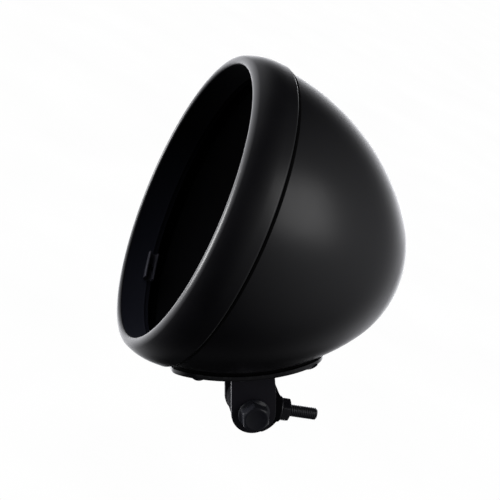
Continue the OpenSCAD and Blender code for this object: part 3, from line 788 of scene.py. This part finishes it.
def clip_mesh(name, turn):
    """A channel with bent corners on the skirt's rear edge, open toward the lamp's axis."""
    back, front = SKIRT, SKIRT - CLIP_W
    low = OPEN_R - CLIP_LIP
    web = OPEN_R - CLIP_T
    profile = fillet(
        [(OPEN_R, front), (OPEN_R, back), (low, back), (low, back - CLIP_T), (web, back - CLIP_T),
         (web, front + CLIP_T), (low, front + CLIP_T), (low, front)],
        [1.3, 1.3, 0.35, 0.35, 0.5, 0.5, 0.35, 0.35], 5)
    half = math.degrees(CLIP_HALF_L / OPEN_R)
    return turn_about_y(name, profile, 20, -turn - half, -turn + half)


for turn, label in CLIP_PLACES:
    place("clip_bent_" + label, clip_mesh("clip_bent_" + label, turn), CLIP_STEEL_AND_PAINTED_LIGHT, "lamp", ["clip_" + label])

# Solids shown as they are, with softened edges.
shown_as_they_are = {"clip_rivets": STEEL, "rim_hook": COATED, "rim_screw": STEEL, "rim_nut": STEEL}
for name, material in shown_as_they_are.items():
    node = nodes[name]
    node.data.materials.clear()
    node.data.materials.append(material)
    bevel = node.modifiers.new("soft_edges", "BEVEL")
    bevel.width = 0.12 * MM
    bevel.segments = 2
    bevel.limit_method = "ANGLE"
    bevel.angle_limit = math.radians(40)

# Floor: plain and almost white to the camera, and open to all other light, so that it casts nothing.
floor_mesh = bpy.data.meshes.new("floor")
floor_mesh.from_pydata(
    [(-FLOOR_HALF, -FLOOR_HALF, 0), (FLOOR_HALF, -FLOOR_HALF, 0), (FLOOR_HALF, FLOOR_HALF, 0),
     (-FLOOR_HALF, FLOOR_HALF, 0)], [], [(0, 1, 2, 3)])
floor = bpy.data.objects.new("floor", floor_mesh)
bpy.context.scene.collection.objects.link(floor)
floor.location.z = cad_box[0].z - FLOOR_DROP
floor_material, floor_tree, floor_surface = shader("pale_floor")
floor_coords = floor_tree.nodes.new("ShaderNodeTexCoord").outputs["Object"]
floor_tone = add_range(floor_tree, add_noise(floor_tree, floor_coords, 3, 4), 0.3, 0.7, 0, 1)
floor_glow = floor_tree.nodes.new("ShaderNodeEmission")
floor_colour = add_mix(floor_tree, floor_tone, (0.985, 0.985, 0.985), (1, 1, 1))
floor_tree.links.new(floor_colour, floor_glow.inputs["Color"])
floor_open = floor_tree.nodes.new("ShaderNodeBsdfTransparent")
floor_ray = floor_tree.nodes.new("ShaderNodeLightPath")
floor_mix = floor_tree.nodes.new("ShaderNodeMixShader")
floor_tree.links.new(floor_ray.outputs["Is Camera Ray"], floor_mix.inputs[0])
floor_tree.links.new(floor_open.outputs[0], floor_mix.inputs[1])
floor_tree.links.new(floor_glow.outputs[0], floor_mix.inputs[2])
floor_tree.links.new(floor_mix.outputs[0], floor_tree.nodes["Material Output"].inputs["Surface"])
floor_tree.nodes.remove(floor_surface)
floor_mesh.materials.append(floor_material)

# Camera
camera_data = bpy.data.cameras.new("camera")
camera_data.sensor_width = SENSOR_MM
camera_data.lens = FOCAL_PX / FRAME_PX * SENSOR_MM
camera_data.clip_start = 0.05
camera_data.clip_end = 100
camera = bpy.data.objects.new("camera", camera_data)
bpy.context.scene.collection.objects.link(camera)
camera_turn = Matrix((VIEW_RIGHT, VIEW_UP, VIEW_BACK)).transposed().to_4x4()
camera.matrix_world = Matrix.Translation(CAMERA_AT) @ camera_turn
bpy.context.scene.camera = camera

# Light: a dim surround with three soft glows, which the camera sees as plain white.
world = bpy.data.worlds.new("studio")
bpy.context.scene.world = world
world.use_nodes = True
sky = world.node_tree
sky.nodes.clear()
out = sky.nodes.new("ShaderNodeOutputWorld")
tent = sky.nodes.new("ShaderNodeBackground")
plain = sky.nodes.new("ShaderNodeBackground")
either = sky.nodes.new("ShaderNodeMixShader")
ray = sky.nodes.new("ShaderNodeLightPath")
way = sky.nodes.new("ShaderNodeTexCoord").outputs["Generated"]


def from_camera(right, up, back):
    """A direction given along the camera's own three directions."""
    return (VIEW_RIGHT * right + VIEW_UP * up + VIEW_BACK * back).normalized()


def sky_math(operation, first, second):
    """A sum, product or power of two values, each a number or a socket."""
    node = sky.nodes.new("ShaderNodeMath")
    node.operation = operation
    for socket, value in zip(node.inputs, (first, second)):
        if isinstance(value, (int, float)):
            socket.default_value = value
        else:
            sky.links.new(value, socket)
    return node.outputs[0]


def toward(right, up, back, start, end, low, high):
    """A value that goes from low to high as a direction, given from the camera, nears between two cosines."""
    dot = sky.nodes.new("ShaderNodeVectorMath")
    dot.operation = "DOT_PRODUCT"
    dot.inputs[1].default_value = from_camera(right, up, back)
    sky.links.new(way, dot.inputs[0])
    return add_range(sky, dot.outputs["Value"], start, end, low, high)


def glow(right, up, back, spread, power, strength):
    """A soft light from a direction, which fades to nothing at a cosine of the spread."""
    return sky_math("MULTIPLY", sky_math("POWER", toward(right, up, back, spread, 1, 0, 1), power), strength)


behind = glow(0, -0.23, -0.97, 0.32, 6, 15)
open_side = glow(-0.88, 0.46, -0.09, 0.24, 1.1, 2.9)
bowl_side = glow(0.96, -0.16, 0.24, 0.12, 2, 0.8)
glows = sky_math("ADD", sky_math("ADD", behind, open_side), bowl_side)
below = toward(-0.01, -0.57, -0.82, 0.58, 0.96, 1, 0)
all_round = sky_math("MULTIPLY", sky_math("ADD", glows, 0.012), below)
sky.links.new(all_round, tent.inputs["Strength"])
tent.inputs["Color"].default_value = (0.955, 0.96, 1, 1)
plain.inputs["Strength"].default_value = 1.0
plain.inputs["Color"].default_value = (1, 1, 1, 1)
sky.links.new(ray.outputs["Is Camera Ray"], either.inputs[0])
sky.links.new(tent.outputs[0], either.inputs[1])
sky.links.new(plain.outputs[0], either.inputs[2])
sky.links.new(either.outputs[0], out.inputs["Surface"])


def soft_box(name, right, up, back, size, power):
    """A square soft box that faces the lamp from a direction given from the camera."""
    data = bpy.data.lights.new(name, "AREA")
    data.shape = "SQUARE"
    data.size = size
    data.energy = power
    light = bpy.data.objects.new(name, data)
    bpy.context.scene.collection.objects.link(light)
    away = from_camera(right, up, back)
    light.location = LAMP_MIDDLE + away * BOX_DISTANCE
    light.rotation_mode = "QUATERNION"
    light.rotation_quaternion = away.to_track_quat("Z", "Y")


soft_box("side_box", 0.85, 0.07, 0.52, 0.85, 7.2)
soft_box("front_box", -0.96, 0.28, -0.03, 0.6, 30)

bpy.context.scene.view_settings.view_transform = "Standard"
bpy.context.scene.view_settings.look = "None"
